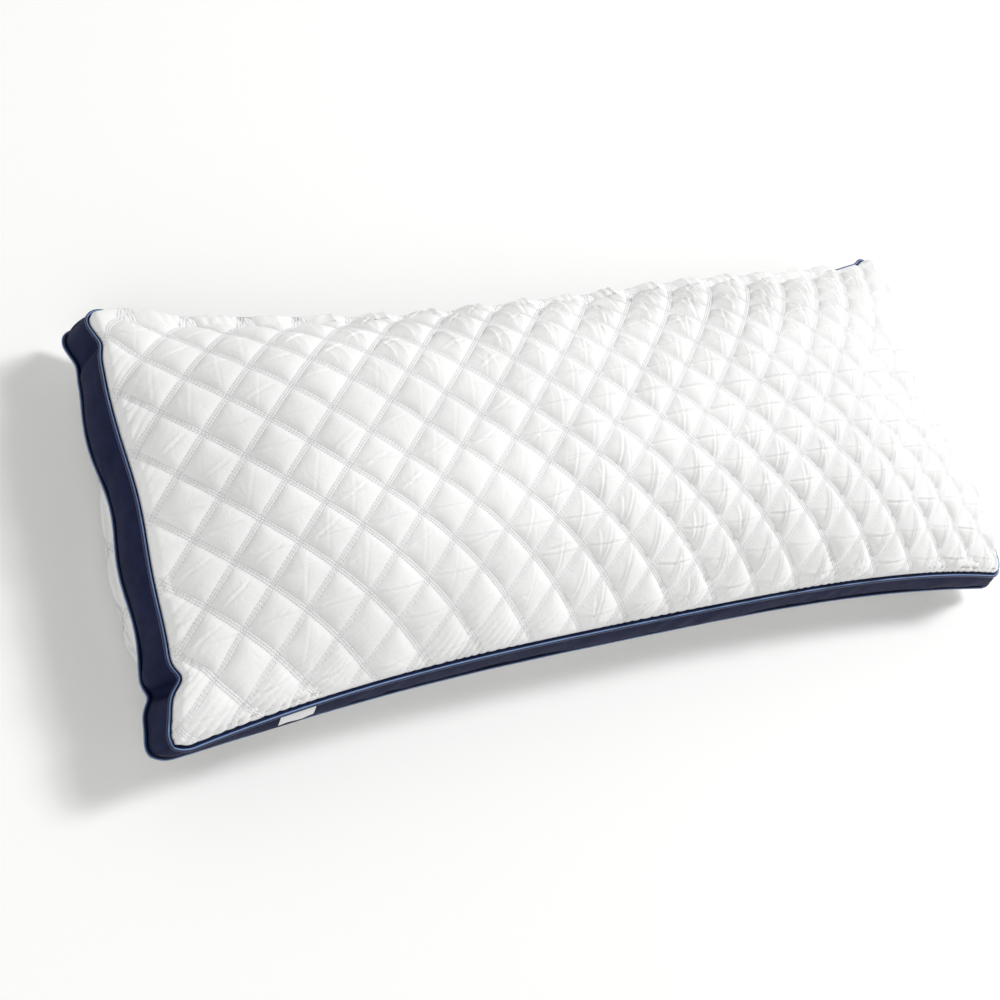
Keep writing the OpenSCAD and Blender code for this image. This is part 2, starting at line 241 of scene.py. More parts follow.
def settle_outline(s, u, v):
    """Uneven slump of the outline, as a shift along X and along Y.

    The upper right corner leans in by the cube of u; the upper seam sags by the fifth power of v,
    in three broad dips; the lower left corner spreads a little.
    """
    right, top = np.clip(u, 0, 1), np.clip(v, 0, 1)
    sag = 0.006 + s.sag * ease(u + 1.0, 0.18) * (1 - ease(u + 0.42, 0.42)) + 0.009 * bell(u - 0.7, 0.2)
    sag = sag + 0.017 * bell(u + 0.12, 0.45)
    x = 0.007 * ease(-u - 0.5, 0.5) * ease(v - 0.55, 0.4)
    x = x - s.lean * right**3 * (0.5 + 0.5 * v) ** 0.6 - 0.007 * low_left(u, v)
    return x - 0.005 * right**6, -sag * top**5 * ease(1 - np.abs(u), 0.06) - 0.002 * low_left(u, v)


def plan(s, u, v, back=False):
    """Plan position: a rounded rectangle whose sides are drawn in towards the middle.

    Each side's run and fall are blended across the panel, then x shrinks by the short pull
    times 1 - y^2 and y by the long pull times 1 - |x|^3, both as shares of the half size. The
    back seam spreads at both ends, which slopes the gusset out, and its lower left corner lifts.
    """
    half_l, half_w = s.length / 2, s.width / 2
    behind = s.corner * (1 - math.cos(math.pi / 4))
    run_u, fall_u = side_run(u, half_l, s.corner)
    run_v, fall_v = side_run(v, half_w, s.corner)
    x, y = run_u + u * (behind - fall_v), run_v + v * (behind - fall_u)
    drawn_x = x * (1 - s.pull_short / half_l * (1 - (y / half_w) ** 2))
    drawn_y = y * (1 - s.pull_long / half_w * (1 - np.abs(x / half_l) ** 3))
    shift_x, shift_y = settle_outline(s, u, v)
    if back:
        ends = np.abs(u) ** 5 * np.sign(u)
        drawn_x = drawn_x + s.spread * ends * (1 + 2.0 * (u > 0) * (0.5 - 0.5 * v))
        drawn_x = drawn_x + 0.0025 * ease(-u - 0.9, 0.1) * np.sin(11 * v)
        drawn_y = drawn_y * (1 + 0.3 * s.spread / half_w) + 0.009 * low_left(u, v)
    return drawn_x + tuck(s, u, v) * (0.7 if back else 1) + shift_x, drawn_y + shift_y


def swell(u, v):
    """Crown from 0 at the seams to 1 in the middle: (1 - |u|^3.7)(1 - |v|^2.7)."""
    return np.clip(1 - np.abs(u) ** 3.7, 0, 1) * np.clip(1 - np.abs(v) ** 2.7, 0, 1)


def droop(s, u, v, front):
    """Sink of the corners: the droop times (u v)^4, and six tenths of that at the back."""
    return s.droop * (np.abs(u) * np.abs(v)) ** 4 * (1 if front else 0.6)


def from_seam(s, u, v):
    """Distance in from the nearest seam."""
    return np.minimum((1 - np.abs(u)) * s.length / 2, (1 - np.abs(v)) * s.width / 2)


# The quarter-round edge beside each seam: its rise, its width, and the lip it starts from.
EDGE_RISE, EDGE_RUN, SEAM_LIP = 0.0078, 0.011, 0.0006


# How far in from the left seam the back's puff reaches.
PUFF_REACH = 0.06


def left_puff(u, v):
    """Where the back puffs out at the left end: between the pinch and the middle, and only there."""
    return (1 - ease(v, 0.85)) * ease(v + 0.7, 0.25) * ease(-u - 0.8, 0.1)


def base_surface(s, u, v, front, puffed=True):
    """Smooth panel before quilting: a quarter-round edge, then the crown, less the corner droop.

    Over the upper seam the front edge swells out as a half sine before it turns in, and so does
    the back at its left end.
    """
    inward = np.clip(from_seam(s, u, v) / EDGE_RUN, 0, 1)
    edge = SEAM_LIP + EDGE_RISE * np.sqrt(np.clip(1 - (1 - inward) ** 2, 0, 1))
    x, y = plan(s, u, v, not front)
    if front:
        z = s.front_seam + edge + s.crown * swell(u, v) - droop(s, u, v, front)
        weight = ease(u + 0.985, 0.05) * (1 - ease(u - 0.74, 0.14)) * ease(v - 0.85, 0.05)
        y = y + s.overhang * np.sin(math.pi * inward) * weight
    else:
        z = s.back_seam - edge - s.back_crown * np.minimum(1.02, swell(u, v) / 0.75) - droop(s, u, v, front)
        if puffed:
            arch = np.sin(math.pi * np.clip(from_seam(s, u, v) / PUFF_REACH, 0, 1))
            x = x - s.back_swell * arch * left_puff(u, v)
    return np.stack([x, y, z], -1)


def outward(s, u, v, front):
    """Unit normals of the smooth panel, from central differences."""
    h = 2e-3
    along = base_surface(s, u + h, v, front) - base_surface(s, u - h, v, front)
    across = base_surface(s, u, v + h, front) - base_surface(s, u, v - h, front)
    return unit(np.cross(along, across)) * (1 if front else -1)


def lattice(q, u, v):
    """Quilting coordinates: each stitched line is where one of them is a whole number."""
    a = q.along * (u + 1) / 2 - q.shift_along
    b = q.across * (v + 1) / 2 - q.shift_across
    return a + b, a - b


def line_gap(s, q):
    """Distance between neighbouring stitched lines."""
    return 1 / math.hypot(q.along / s.length, q.across / s.width)


def crease(x, y, angle, offset, reach, depth, width, bend):
    """A fold line across a cell: a narrow valley with a softer ridge beside it."""
    a = x * np.cos(angle) + y * np.sin(angle)
    b = y * np.cos(angle) - x * np.sin(angle) - offset - bend * a * a
    ends = np.exp(-((a / reach) ** 6))
    return depth * ends * (0.6 * bell(b - 2.1 * width, 1.5 * width) - bell(b, width))


def tucked_fold(x, y, angle, offset, reach, depth, bend):
    """A fold of pulled cloth: it swells as an exponential towards a line and drops sharply behind it."""
    a = x * np.cos(angle) + y * np.sin(angle)
    b = x * np.sin(angle) - y * np.cos(angle) - offset - bend * a * a
    return depth * np.exp(-((a / reach) ** 4)) * np.exp(np.minimum(b, 0) / 0.005) * (1 - ease(b, 0.0022))


def quilt_relief(s, q, u, v, salt):
    """Height of the puffed cells over their channels.

    Away from a line by more than half a channel, a cell rises as 1 - (1 - k)^3.2 from both lines;
    crossings are drawn down and the channel between two crossings bows up.
    """
    along, across = lattice(q, u, v)
    gap = line_gap(s, q)
    off_a, off_b = (along - np.round(along)) * gap, (across - np.round(across)) * gap
    edge, run = q.channel / 2, gap / 2 - q.channel / 2
    lift = [1 - (1 - np.clip((np.abs(d) - edge) / run, 0, 1)) ** 3.2 for d in (off_a, off_b)]
    m, n = np.floor(along), np.floor(across)
    raised = (lift[0] * lift[1]) ** 0.8
    height = q.puff * (0.82 + 0.36 * scatter(m, n, salt)) * raised * (0.75 + 0.25 * ease(u + 0.7, 0.8))
    height += 0.0012 * np.sin(math.pi * along) ** 2 * np.sin(math.pi * across) ** 2
    height -= 0.0012 * np.exp(-(off_a**2 + off_b**2) / (2 * 0.006**2))

    # Creases inside each cell, in metres from its middle along X and Y.
    p, r = along - m - 0.5, across - n - 0.5
    x, y = (p + r) / 2 / q.along * s.length, (p - r) / 2 / q.across * s.width
    right, high, low = ease(u + 0.45, 0.5), ease(v - 0.3, 0.35), ease(-0.05 - v, 0.3)
    pick = [scatter(m, n, salt + k) for k in range(1, 11)]
    level = right * (1 - 0.8 * high) * (1 - 0.75 * low) * (pick[0] < 0.9) + 0.3 * (pick[0] < 0.4)
    upright = right * (0.3 + 0.7 * low) * (pick[1] < 0.85) + 0.1 * (pick[1] < 0.3)
    deep = high * ease(u + 0.75, 0.35) * (1 - 0.7 * ease(u - 0.4, 0.3))
    slant = (1 - right) * (pick[9] < 0.7)
    # Level, upright, near-upright and slanted creases: angle, offset, reach, depth, width and bend.
    folds = 0
    for angle, offset, reach, depth, width, bend in (
        (0.06 * (pick[2] - 0.5), 0.005 * (pick[3] - 0.5), 0.033, 0.0024 * level, 0.0011, 0.8 * (pick[4] - 0.5)),
        (
            math.radians(76) + 0.2 * (pick[5] - 0.5),
            0.008 * (pick[6] - 0.5),
            0.03,
            0.0028 * upright,
            0.0014,
            2 * (pick[7] - 0.5),
        ),
        (
            math.radians(84) + 0.4 * (pick[8] - 0.5),
            0.026 * (pick[2] - 0.5),
            0.02,
            0.0011 * upright,
            0.0013,
            3 * (pick[9] - 0.5),
        ),
        (0.35 + 0.5 * (pick[6] - 0.5), 0.02 * (pick[5] - 0.5), 0.015, 0.0017 * slant, 0.0013, 9 * (pick[3] - 0.3)),
    ):
        folds = folds + crease(x, y, angle, offset, reach, depth, width, bend)
    # Pulled folds near the upper seam: angle, offset, reach and depth.
    for angle, offset, reach, depth in (
        (
            math.radians(110) + 0.2 * (pick[3] - 0.5),
            0.003 + 0.006 * (pick[2] - 0.5),
            0.021,
            0.0064 * deep * (0.55 + 0.45 * pick[4]),
        ),
        (
            math.radians(104) + 0.3 * (pick[6] - 0.5),
            0.004 * (pick[7] - 0.5) - 0.009,
            0.015,
            0.0034 * deep * (pick[8] < 0.6),
        ),
    ):
        folds = folds + tucked_fold(x, y, angle, offset, reach, depth, -6.0)
    return height + folds * ease(raised, 0.2)


def gathers(s, u, v, salt):
    """Folds that run in from the seams: narrow valleys between round ridges, fading inwards.

    Their phase is the distance along the seam, bent by sines and slanted by the distance in.
    """
    x, y = u * s.length / 2, v * s.width / 2
    total = 0
    for side, run, depth, reach, pace in (
        (s.width / 2 * (1 + v), x, 0.0042, 0.036, 0.0125),
        (s.width / 2 * (1 - v), x, 0.0020, 0.022, 0.015),
        (s.length / 2 * (1 + u), y, 0.0026, 0.022, 0.017),
        (s.length / 2 * (1 - u), y, 0.0024, 0.03, 0.015),
    ):
        salt += 1.7
        lean = run - (1.0 + 0.25 * np.sin(run / 0.06 + salt)) * side - 3.0 * side**2
        warped = lean + 0.004 * np.sin(lean / 0.029 + salt) + 0.0022 * np.sin(lean / 0.011 + 2 * salt)
        wave = np.abs(np.sin(math.pi * warped / pace))
        strength = np.clip(0.55 + 0.6 * np.sin(lean / 0.041 + 3 * salt), 0, 1)
        total = total - depth * strength * (1 - wave) ** 1.4 * np.exp(-((side / reach) ** 1.5)) * ease(side, 0.004)
    return total


def settle(u, v, salt):
    """Broad unevenness of the filling: three long sine waves."""
    long_wave = np.sin(7.1 * u + 3.3 * v + salt) + np.sin(6.1 * v - 4.7 * u + 2 * salt)
    return 0.0016 * (long_wave + np.sin(11.3 * u + 1.9 * v + 3 * salt))


def panel_surface(s, q, u, v, front):
    """Quilted panel: the smooth panel moved out along its normals by the relief and folds."""
    salt = 1.0 if front else 5.0
    inner = ease(from_seam(s, u, v) - 0.001, 0.01)
    if not front:
        inner = inner * (1 - 0.75 * left_puff(u, v) * (from_seam(s, u, v) < PUFF_REACH))
    move = (quilt_relief(s, q, u, v, salt) + settle(u, v, salt)) * inner + gathers(s, u, v, salt)
    points = base_surface(s, u, v, front) + outward(s, u, v, front) * move[..., None]
    if not front:
        # The floor stops the back panel: z becomes half of z plus the root of z squared and a little.
        z = points[..., 2]
        points[..., 2] = (z + np.sqrt(z * z + 0.0012**2)) / 2
    return points


# ---- Edges: gusset, piping and label ----


RIM_STEPS = 1500


def rim_walk(step_count=RIM_STEPS):
    """u and v once round the panel's edge, anticlockwise from the lower left corner, evenly by length."""
    s = bpy.context.scene.pillow_shape
    sides = np.array([s.length, s.width, s.length, s.width])
    counts = np.round(step_count * sides / sides.sum()).astype(int)
    sides = [np.linspace(-1, 1, c, endpoint=False) for c in counts]
    u = np.concatenate([sides[0], np.ones(counts[1]), -sides[2], -np.ones(counts[3])])
    v = np.concatenate([-np.ones(counts[0]), sides[1], np.ones(counts[2]), -sides[3]])
    return u, v


def seam_line(s, u, v, front):
    """Points of a seam: the plan at the seam's height, less the corner droop."""
    x, y = plan(s, u, v, not front)
    return np.stack([x, y, (s.front_seam if front else s.back_seam) - droop(s, u, v, front)], -1)


def side_way(points):
    """Outward level direction at each point of a closed, anticlockwise line."""
    ahead = np.roll(points, -1, 0) - np.roll(points, 1, 0)
    return unit(np.stack([ahead[:, 1], -ahead[:, 0], 0 * ahead[:, 0]], -1))


def gusset_point(s, t, u, v, w, way_front, way_back):
    """Gusset surface, w from 0 at the front seam to 1 at the back seam.

    The two seams are joined straight, then the cloth swells out as sin(pi w), with a pinch low
    on the left end, a shallow crease near its top, soft buckles elsewhere and a ridge at each edge.
    """
    top, bottom = seam_line(s, u, v, True), seam_line(s, u, v, False)
    way = unit(way_front * (1 - w)[..., None] + way_back * w[..., None])
    points = top * (1 - w)[..., None] + bottom * w[..., None]
    x, y = u * s.length / 2, v * s.width / 2
    run = np.where(np.abs(u) > np.abs(v), y, x)
    belly = np.clip(np.sin(math.pi * w), 0, 1) ** 0.7
    left = ease(-u - 0.97, 0.03)
    swells = t.bulge * (0.85 + 0.25 * np.sin(run / 0.09 + 1) + 0.12 * np.sin(run / 0.031 + 4))
    swells = swells * (1 - 0.45 * (np.abs(u) * np.abs(v)) ** 8)
    buckles = 0.0011 * np.sin(run / 0.0085 + 2.2 * np.sin(run / 0.05) + 3 * w) * np.sin(run / 0.07 + 0.6) ** 2
    slope = 0.012 * (w - 0.5)
    pinch = bell(y + 0.186 - slope, 0.007) - 0.5 * bell(y + 0.168 - slope, 0.013)
    crease_top = bell(y - 0.203 + slope, 0.006) - 0.4 * bell(y - 0.19 + slope, 0.012)
    out = belly * (swells + buckles - left * (0.0095 * pinch + 0.005 * crease_top))
    # The sewn ends of the band meet in the middle of the right end, under a fine groove.
    out = out - 0.0012 * bell(y, 0.0016) * ease(u - 0.97, 0.03) * belly
    return points + way * out[..., None]


def sweep_profile(path, way, profile):
    """Carries (out, up) pairs along a path: one profile, or one for each point of the path."""
    rise = np.array([0.0, 0.0, 1.0])
    return path[:, None, :] + way[:, None, :] * profile[..., :1] + rise * profile[..., 1:]


def bead_profile(t, sides):
    """Piping cover: a lip from inside the seam, round the bead and back, as one closed loop.

    Returned with each point's turn about the bead, as a share of a full circle.
    """
    radius = t.bead / 2
    turn = np.linspace(math.radians(168), -math.radians(168), sides)
    ring = np.stack([t.bead_out + radius * np.cos(turn), radius * np.sin(turn)], -1)
    lip = np.array([[-0.005, 0.0004]])
    turns = np.concatenate([[0.5], turn / (2 * math.pi), [-0.5]])
    return np.concatenate([lip, ring, lip * [1, -1]]), turns


# ---- Meshes ----


def grid_quads(rows, columns, closed_rows=False, closed_columns=False):
    """Quads between neighbouring rows and columns of a grid of vertices."""
    i = np.arange(rows if closed_rows else rows - 1)
    j = np.arange(columns if closed_columns else columns - 1)
    i, j = np.meshgrid(i, j, indexing="ij")
    i2, j2 = (i + 1) % rows, (j + 1) % columns
    return np.stack([i * columns + j, i2 * columns + j, i2 * columns + j2, i * columns + j2], -1).reshape(-1, 4)


def grid_rim(rows, columns):
    """Vertex numbers round a grid's edge, anticlockwise when rows run along X."""
    a, b = np.arange(rows - 1), np.arange(columns - 1)
    last_row, last_column = (rows - 1) * columns, columns - 1
    return np.concatenate([a * columns, last_row + b, last_row - a * columns + last_column, last_column - b])


def twin_shell(upper, lower):
    """Points and quads of a closed shell between two equal grids, the first above the second."""
    count = upper.size // 3
    quads, ring = grid_quads(*upper.shape[:2]), grid_rim(*upper.shape[:2])
    after = np.roll(ring, -1)
    wall = np.stack([ring, ring + count, after + count, after], -1)
    points = np.concatenate([upper.reshape(-1, 3), lower.reshape(-1, 3)])
    return points, np.concatenate([quads, quads[:, ::-1] + count, wall])


def make_piece(name, points, faces, uv=None):
    """Adds a smooth mesh object from vertices and lists of quads or triangles, with a UV for each vertex."""
    mesh = bpy.data.meshes.new(name)
    points = np.ascontiguousarray(points.reshape(-1, 3), dtype=np.float32)
    corners = np.concatenate([f.reshape(-1) for f in faces]).astype(np.int32)
    sizes = np.concatenate([np.full(len(f), f.shape[1]) for f in faces])
    starts = np.concatenate([[0], np.cumsum(sizes)[:-1]]).astype(np.int32)
    mesh.vertices.add(len(points))
    mesh.vertices.foreach_set("co", points.ravel())
    mesh.loops.add(len(corners))
    mesh.loops.foreach_set("vertex_index", corners)
    mesh.polygons.add(len(sizes))
    mesh.polygons.foreach_set("loop_start", starts)
    mesh.polygons.foreach_set("use_smooth", np.ones(len(sizes), dtype=bool))
    if uv is not None:
        layer = mesh.uv_layers.new(name="cloth")
        layer.data.foreach_set("uv", uv.reshape(-1, 2)[corners].astype(np.float32).ravel())
    mesh.update(calc_edges=True)
    if mesh.validate():
        raise RuntimeError(name + " has faces that Blender had to repair")
    piece = bpy.data.objects.new(name, mesh)
    bpy.context.scene.collection.objects.link(piece)
    return piece


# Cells of the front's and the back's outer surface, and how many of them one lining cell spans.
FINE, BACK_FINE, LINING = (960, 384), (480, 192), 4


def build_panel(name, front):
    """Closed quilted layer: the fine outer surface, a smooth backing inside it and a strip between.

    The backing takes every fourth vertex of the outer grid, moved in along the normals.
    """
    scene = bpy.context.scene
    s, q = scene.pillow_shape, scene.pillow_quilting
    columns, rows = FINE if front else BACK_FINE
    u, v = np.meshgrid(np.linspace(-1, 1, columns + 1), np.linspace(-1, 1, rows + 1), indexing="ij")
    outer = panel_surface(s, q, u, v, front)
    coarse_u, coarse_v = u[::LINING, ::LINING], v[::LINING, ::LINING]
    depth = 0.0012 + 0.0068 * ease(from_seam(s, coarse_u, coarse_v) - 0.003, 0.02)
    if not front:
        depth = depth * (1 - 0.8 * left_puff(coarse_u, coarse_v))
    inner = base_surface(s, coarse_u, coarse_v, front) - outward(s, coarse_u, coarse_v, front) * depth[..., None]
    outer_faces = grid_quads(*u.shape)
    inner_faces = grid_quads(*coarse_u.shape)[:, ::-1] + u.size
    # Each lining edge, from ring to after, meets four outer edges, from f[0] to f[4].
    ring = grid_rim(*coarse_u.shape) + u.size
    after = np.roll(ring, -1)
    f = [np.roll(grid_rim(*u.shape), -k)[::LINING] for k in range(LINING + 1)]
    fan = [(f[0], ring, f[1]), (f[1], ring, f[2]), (ring, after, f[2]), (f[2], after, f[3]), (f[3], after, f[4])]
    strip = np.concatenate([np.stack(triangle, -1) for triangle in fan])
    quads = np.concatenate([outer_faces, inner_faces])
    if not front:
        quads, strip = quads[:, ::-1], strip[:, ::-1]
    uv = np.stack(lattice(q, u, v), -1)
    uv = np.concatenate([uv.reshape(-1, 2), uv[::LINING, ::LINING].reshape(-1, 2)])
    points = np.concatenate([outer.reshape(-1, 3), inner.reshape(-1, 3)])
    return make_piece(name, points, [quads, strip], uv)


# Half a stitch's visible length, as a share of the stitch pitch.
STITCH_HALF = 0.38


def build_stitches(name, front):
    """Every stitch of the quilting, as a slim double pyramid that lies in its channel.

    Each family of lines is walked in steps of one stitch on three rows; a stitch's ends dip into
    the cloth and its four waist points stand round its middle.
    """
    scene = bpy.context.scene
    s, q = scene.pillow_shape, scene.pillow_quilting
    gap = line_gap(s, q)
    spacing = q.pitch / gap
    corners = lattice(q, np.array([-1.0, 1.0, -1.0, 1.0]), np.array([-1.0, -1.0, 1.0, 1.0]))
    reach = [(math.floor(c.min()), math.ceil(c.max())) for c in corners]
    ends = []
    for family in (0, 1):
        lines = np.arange(reach[family][0], reach[family][1] + 1)
        steps = np.arange(reach[1 - family][0], reach[1 - family][1], spacing)
        line, row, step = np.meshgrid(lines, [-1, 0, 1], steps, indexing="ij")
        fixed = (line + row * q.row_gap / gap).ravel()
        step = (step + 0.5 * spacing * (row % 2) + 0.12 * spacing * scatter(line, row, 3.0)).ravel()
        trio = []
        for part in (-STITCH_HALF, 0.0, STITCH_HALF):
            moving = step + part * spacing
            along, across = (fixed, moving) if family == 0 else (moving, fixed)
            a, b = (along + across) / 2 + q.shift_along, (along - across) / 2 + q.shift_across
            trio.append((a / q.along * 2 - 1, b / q.across * 2 - 1))
        ends.append(np.array(trio))
    uvs = np.concatenate(ends, -1)
    edge = from_seam(s, uvs[:, 0], uvs[:, 1]).min(0)
    uvs = uvs[:, :, (edge > 0.004) & (np.abs(uvs).max((0, 1)) < 1)]
    first, mid, last = [panel_surface(s, q, uvs[k, 0], uvs[k, 1], front) for k in range(3)]
    up = outward(s, uvs[1, 0], uvs[1, 1], front)
    way = unit(last - first)
    side = unit(np.cross(up, way))
    up = np.cross(way, side)
    thick, dip, lift = 0.00034, 0.0003, 0.00012
    heart = mid + up * lift
    waist = [heart + reach * thick for reach in (up, side, -up, -side)]
    points = np.stack([first - up * dip, *waist, last - up * dip], 1)
    points[..., 2] = np.maximum(points[..., 2], 0.0001)
    faces = [[0, k, k % 4 + 1] for k in (1, 2, 3, 4)] + [[5, k % 4 + 1, k] for k in (1, 2, 3, 4)]
    faces = (np.array(faces)[None] + 6 * np.arange(len(points))[:, None, None]).reshape(-1, 3)
    return make_piece(name, points, [faces])


def rim_length(points):
    """Distance run along a closed line."""
    steps = np.linalg.norm(np.roll(points, -1, 0) - points, axis=1)
    return np.concatenate([[0], np.cumsum(steps)[:-1]])


def build_gusset(name):
    """The band as a closed sheet of real thickness: outer and inner surface and both folded edges."""
    scene = bpy.context.scene
    s, t = scene.pillow_shape, scene.pillow_trim
    u, v = rim_walk()
    seams = [seam_line(s, u, v, front) for front in (True, False)]
    w = np.linspace(0.012, 0.988, 25)
    grid = [np.repeat(a[:, None], len(w), 1) for a in (u, v)] + [np.repeat(w[None, :], len(u), 0)]
    ways = [np.repeat(side_way(seam)[:, None, :], len(w), 1) for seam in seams]
    outer = gusset_point(s, t, *grid, *ways)
    inner = outer - unit(ways[0] + ways[1]) * t.cloth
    loop = np.concatenate([outer, inner[:, ::-1]], 1)
    faces = grid_quads(len(u), loop.shape[1], True, True)[:, ::-1]
    run = rim_length(seams[0])
    height = s.front_seam - s.back_seam
    uv = np.stack(np.meshgrid(run, np.concatenate([w, w[::-1]]) * height, indexing="ij"), -1)
    return make_piece(name, loop, [faces], uv), run[-1], height


def build_bead(name, front):
    """Piping cover carried once round a seam, with a painted highlight line where the satin faces the panel."""
    scene = bpy.context.scene
    s, t = scene.pillow_shape, scene.pillow_trim
    u, v = rim_walk()
    path = seam_line(s, u, v, front)
    profile, turns = bead_profile(t, 17)
    run = rim_length(path)
    # The wrapped strip puckers a little between its stitches.
    pucker = 1 + 0.03 * np.sin(run / 0.0021 + 2 * np.sin(run / 0.013)) + 0.04 * np.sin(run / 0.017)
    centre = np.array([t.bead_out, 0])
    points = sweep_profile(path, side_way(path), centre + (profile - centre)[None] * pucker[:, None, None])
    faces = grid_quads(len(u), len(profile), True, True)
    # Where the painted highlight line lies round the bead, as a share of a full turn up from outward.
    painted_highlight_turn = 0.27 if front else 0.08
    uv = np.stack(np.meshgrid(run, turns - painted_highlight_turn, indexing="ij"), -1)
    return make_piece(name, points, [faces], uv)


def build_round(name, path, way, radius, out, sides, closed=True):
    """Cord or thread: a round section carried along a path, its ends closed if it has any.

    The section is a circle whose centre stands out from the path by the given distance.
    """
    turn = -np.arange(sides) * 2 * math.pi / sides
    profile = np.stack([radius * np.cos(turn) + out, radius * np.sin(turn)], -1)
    points = sweep_profile(path, way, profile)
    faces = [grid_quads(len(path), sides, closed, True)]
    if not closed:
        first = np.arange(sides)
        faces.append(np.stack([first, first[::-1] + (len(path) - 1) * sides]))
    return make_piece(name, points, faces)


# How far the filling's surface stays inside the smooth panels: the quilted layer and its slack.
PANEL_DEPTH = 0.0115


def build_filling(name):
    """Filling: one closed body just inside both backings and the gusset."""
    s = bpy.context.scene.pillow_shape
    u, v = np.meshgrid(np.linspace(-0.955, 0.955, 121), np.linspace(-0.92, 0.92, 51), indexing="ij")
    top = base_surface(s, u, v, True) - outward(s, u, v, True) * PANEL_DEPTH
    bottom = base_surface(s, u, v, False, False) + np.array([0.0, 0.0, PANEL_DEPTH])
    points, faces = twin_shell(top, bottom)
    return make_piece(name, points, [faces])


LABEL_CLOTH = 0.0005


def build_label(name):
    """Blank label: a thin closed sheet that hangs from the front seam and follows the gusset's swell."""
    scene = bpy.context.scene
    s, t = scene.pillow_shape, scene.pillow_trim
    low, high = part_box("care_label")
    wide, drop = high[0] - low[0], high[2] - low[2]
    across, down = np.meshgrid(np.linspace(-0.5, 0.5, 41), np.linspace(0, 1, 25), indexing="ij")
    u = ((low[0] + high[0]) / 2 + across * wide) / (s.length / 2)
    v = -np.ones_like(u)
    # The gusset's outward way under the label, read from a finer walk along the lower side.
    dense_u, dense_v = rim_walk(2 * RIM_STEPS)
    lower = dense_v < -0.999
    ways = []
    for front in (True, False):
        dense = side_way(seam_line(s, dense_u, dense_v, front))[lower]
        ways.append(np.stack([np.interp(u, dense_u[lower], dense[:, k]) for k in range(3)], -1))
    w = (s.front_seam - high[2] + down * drop) / (s.front_seam - s.back_seam)
    curl = 0.0004 * np.sin(across * 9 + 0.5) * down**2 + 0.0006 * down**3
    way = unit(ways[0] + ways[1])
    outer = gusset_point(s, t, u, v, w, *ways) + way * (t.label_out + LABEL_CLOTH + curl)[..., None]
    points, faces = twin_shell(outer, outer - way * LABEL_CLOTH)
    uv = np.tile(np.stack([across * wide, down * drop], -1).reshape(-1, 2), (2, 1))
    return make_piece(name, points, [faces[:, ::-1]], uv), (wide, drop)


# ---- Materials ----


SMOOTH = {"interpolation_type": "SMOOTHSTEP"}
COLOURS = {"data_type": "RGBA", "out": 2}


def add(tree, kind, inputs=(), out=0, **settings):
    """Adds a shader node and returns the wanted output.

    Settings are the node's own properties. Inputs are values or other nodes' outputs, in the
    order of its sockets or under a socket's name or number.
    """
    node = tree.nodes.new("ShaderNode" + kind)
    for key, value in settings.items():
        setattr(node, key, value)
    for socket, value in inputs.items() if isinstance(inputs, dict) else enumerate(inputs):
        if isinstance(value, bpy.types.NodeSocket):
            tree.links.new(value, node.inputs[socket])
        else:
            node.inputs[socket].default_value = value
    return node.outputs[out]


def cloth_material(name, **principled):
    """A new material with values on its principled shader's own sockets.

    Returned with a function that adds a node to it and one that gives it a colour and a bump.
    """
    material = bpy.data.materials.new(name)
    material.use_nodes = True
    tree = material.node_tree
    shader = next(n for n in tree.nodes if n.type == "BSDF_PRINCIPLED")
    for socket, value in principled.items():
        shader.inputs[socket.replace("_", " ")].default_value = value

    def dress(colour, height, strength, distance):
        relief = add(tree, "Bump", {"Strength": strength, "Distance": distance, "Height": height})
        tree.links.new(colour, shader.inputs["Base Color"])
        tree.links.new(relief, shader.inputs["Normal"])

    return material, functools.partial(add, tree), dress


